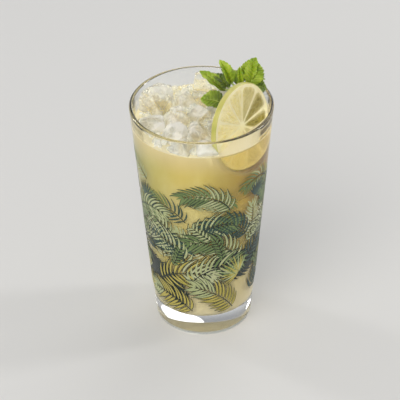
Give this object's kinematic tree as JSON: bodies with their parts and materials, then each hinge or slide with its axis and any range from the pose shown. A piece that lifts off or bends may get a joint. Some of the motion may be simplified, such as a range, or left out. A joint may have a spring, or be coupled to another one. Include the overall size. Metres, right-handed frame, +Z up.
{
  "type": "jamaican mule",
  "caption": "Tall flared glass of a pale, cloudy iced cocktail with a lime wheel and a mint sprig standing in its mouth.",
  "frame": {"origin": "centre of the glass's foot, on the surface it stands on", "axes": "+Z up along the glass's axis; the viewer faces +Y, with the lime wheel at the front right"},
  "size_m": [0.0838, 0.0838, 0.1692],
  "materials": {
    "glass": "clear and polished, with printed foliage",
    "drink": "cloudy pale yellow liquid",
    "lime": "wet citrus pulp with a yellow-green peel",
    "mint": "fresh crinkled leaf",
    "ice": "clear ice with white cracks"
  },
  "bodies": {
    "root": {"glass": "glass", "drink": "drink", "lime_wheel": "lime", "mint_sprig": "mint", "ice_left_back": "ice", "ice_left": "ice", "ice_mid_left": "ice", "ice_mid_back": "ice", "ice_back": "ice", "ice_inner_left": "ice", "ice_front_left": "ice", "ice_front": "ice", "ice_middle": "ice", "ice_inner_right": "ice", "ice_under_mint": "ice", "ice_right_back": "ice", "ice_right": "ice", "ice_front_wall_left": "ice", "ice_front_wall": "ice"}
  },
  "joints": []
}
